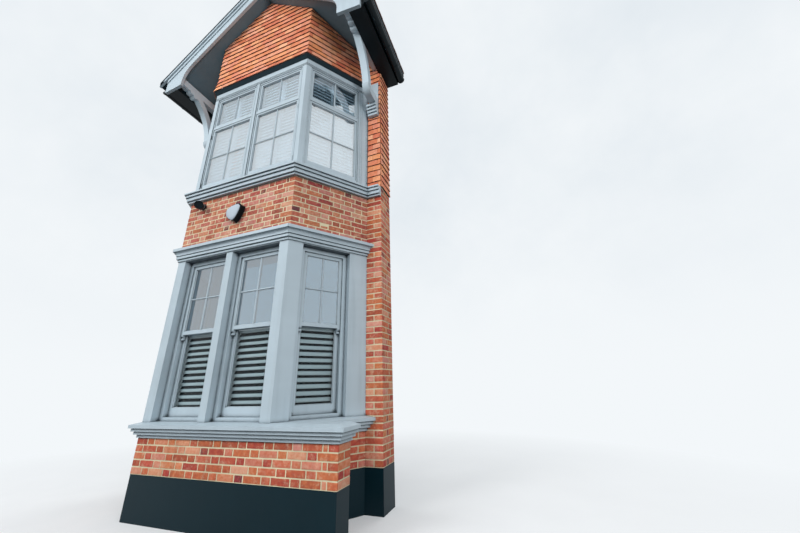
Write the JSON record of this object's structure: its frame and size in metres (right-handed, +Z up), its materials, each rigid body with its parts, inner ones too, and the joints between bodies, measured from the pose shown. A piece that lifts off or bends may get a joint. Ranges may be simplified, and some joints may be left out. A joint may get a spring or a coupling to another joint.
{
  "type": "two-storey canted bay window with gable",
  "caption": "Canted brick bay with sash windows below, casements above, a tile-hung gable on brackets and a short piece of the main wall on each side.",
  "frame": {"origin": "on the ground, under the middle of the bay's front brick face", "axes": "+Z up, +Y into the house, +X along the front to the right as seen from outside"},
  "size_m": [4.2794, 1.502, 8.6808],
  "materials": {
    "brick": "orange-red facing brick with cream lime mortar",
    "plinth_paint": "black satin masonry paint on brick",
    "floor_boards": "plain boards",
    "plaster": "matt plaster",
    "window_glass": "clear float glass",
    "shutter_paint": "satin paint on louvred panels",
    "hung_tile": "hand-made orange plain tiles",
    "roof_tile": "orange plain tiles and terracotta ridge",
    "lead": "dark lead, satin",
    "gutter_paint": "black gloss",
    "soffit_paint": "satin grey paint on boards",
    "joinery_paint": "satin blue-grey paint on timber and render"
  },
  "bodies": {
    "root": {"plinth": "plinth_paint", "base_walls": "brick", "ground_floor": "floor_boards", "sill_front": "joinery_paint", "sill_cants": "joinery_paint", "ground_posts": "joinery_paint", "ground_lintels": "joinery_paint", "cornice": "joinery_paint", "ground_frame_left": "joinery_paint", "ground_frame_front_left": "joinery_paint", "ground_frame_front_right": "joinery_paint", "ground_frame_right": "joinery_paint", "upper_sashes": "joinery_paint", "lower_sashes": "joinery_paint", "ground_glass": "window_glass", "ground_shutters": "shutter_paint", "band_walls": "brick", "first_floor": "floor_boards", "string_course": "joinery_paint", "first_posts": "joinery_paint", "first_frame_left": "joinery_paint", "first_frame_front_left": "joinery_paint", "first_frame_front_right": "joinery_paint", "first_frame_right": "joinery_paint", "casements": "joinery_paint", "top_lights": "joinery_paint", "first_glass": "window_glass", "first_shutters": "shutter_paint", "fascia": "joinery_paint", "lead_strip": "lead", "gable_front": "hung_tile", "gable_cants": "hung_tile", "ceiling": "plaster", "main_wall_ground": "brick", "main_wall_first": "hung_tile", "back_gable": "brick", "soffits": "soffit_paint", "bargeboards": "joinery_paint", "eaves_boards": "gutter_paint", "roof_left": "roof_tile", "roof_right": "roof_tile", "ridge": "roof_tile", "brackets": "joinery_paint", "corbels": "joinery_paint", "gutters": "gutter_paint"}
  },
  "joints": []
}
